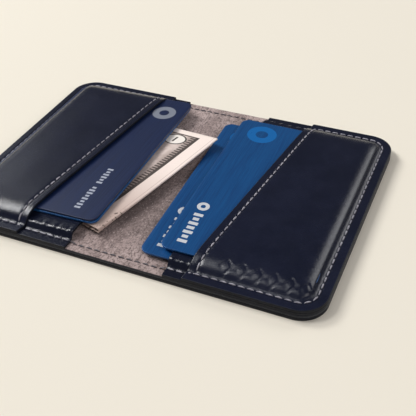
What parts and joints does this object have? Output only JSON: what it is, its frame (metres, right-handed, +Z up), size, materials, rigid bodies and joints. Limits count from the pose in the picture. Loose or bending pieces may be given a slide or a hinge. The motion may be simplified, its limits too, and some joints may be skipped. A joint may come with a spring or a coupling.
{
  "type": "bifold card wallet",
  "caption": "Vertical bifold leather card wallet with two slanted pockets, suede spine, cards and a folded banknote, lying open.",
  "frame": {"origin": "resting surface, at the centre of the open cover", "axes": "+X across the open wallet from the left cover to the right cover, +Y along the spine, +Z up"},
  "size_m": [0.145, 0.105, 0.009],
  "materials": {
    "navy_leather": "satin",
    "suede": "matte",
    "thread": "satin",
    "blue_card": "satin",
    "navy_card": "satin",
    "note_paper": "matte"
  },
  "bodies": {
    "right_cover": {"shell_right": "navy_leather", "lining_right": "suede", "inner_panel_right": "navy_leather", "slanted_pocket_right": "navy_leather", "edge_stitching_right": "thread", "pocket_stitching_right": "thread"},
    "spine": {"shell_spine": "navy_leather", "lining_spine": "suede", "edge_stitching_spine": "thread"},
    "left_cover": {"shell_left": "navy_leather", "lining_left": "suede", "inner_panel_left": "navy_leather", "slanted_pocket_left": "navy_leather", "edge_stitching_left": "thread", "pocket_stitching_left": "thread"},
    "blue_front_card": {"card_blue_front": "blue_card"},
    "blue_back_card": {"card_blue_back": "blue_card"},
    "navy_card": {"card_navy": "navy_card"},
    "blue_under_card": {"card_blue_under": "blue_card"},
    "folded_note": {"banknote": "note_paper"}
  },
  "joints": [
    {"name": "spine_fold", "type": "hinge", "parent": "right_cover", "child": "spine", "pos_m": [0.0075, 0, 0.0014], "axis": [0, 1, 0], "range_deg": [0, 90]},
    {"name": "cover_fold", "type": "hinge", "parent": "spine", "child": "left_cover", "pos_m": [-0.0075, 0, 0.0014], "axis": [0, 1, 0], "range_deg": [0, 90]},
    {"name": "blue_back_slide", "type": "slide", "parent": "right_cover", "child": "blue_back_card", "axis": [0.9997, 0, -0.0262], "range_m": [0, 0.0056]},
    {"name": "blue_front_slide", "type": "slide", "parent": "right_cover", "child": "blue_front_card", "axis": [-0.9997, 0, 0.0262], "range_m": [0, 0.0015]},
    {"name": "navy_slide", "type": "slide", "parent": "left_cover", "child": "navy_card", "axis": [0.9997, 0, 0.0262], "range_m": [0, 0.003]},
    {"name": "blue_under_slide", "type": "slide", "parent": "left_cover", "child": "blue_under_card", "axis": [0.9997, 0, 0.0262], "range_m": [0, 0.002]},
    {"name": "note_slide", "type": "slide", "parent": "left_cover", "child": "folded_note", "axis": [-1, 0, 0], "range_m": [0, 0.0164], "deforming": ["banknote"]}
  ],
  "couplings": [
    {"joint": "cover_fold", "follows": "spine_fold", "ratio": 1},
    {"joint": "blue_back_slide", "follows": "spine_fold", "m_per_rad": 0.0035},
    {"joint": "note_slide", "follows": "spine_fold", "m_per_rad": 0.0104}
  ]
}
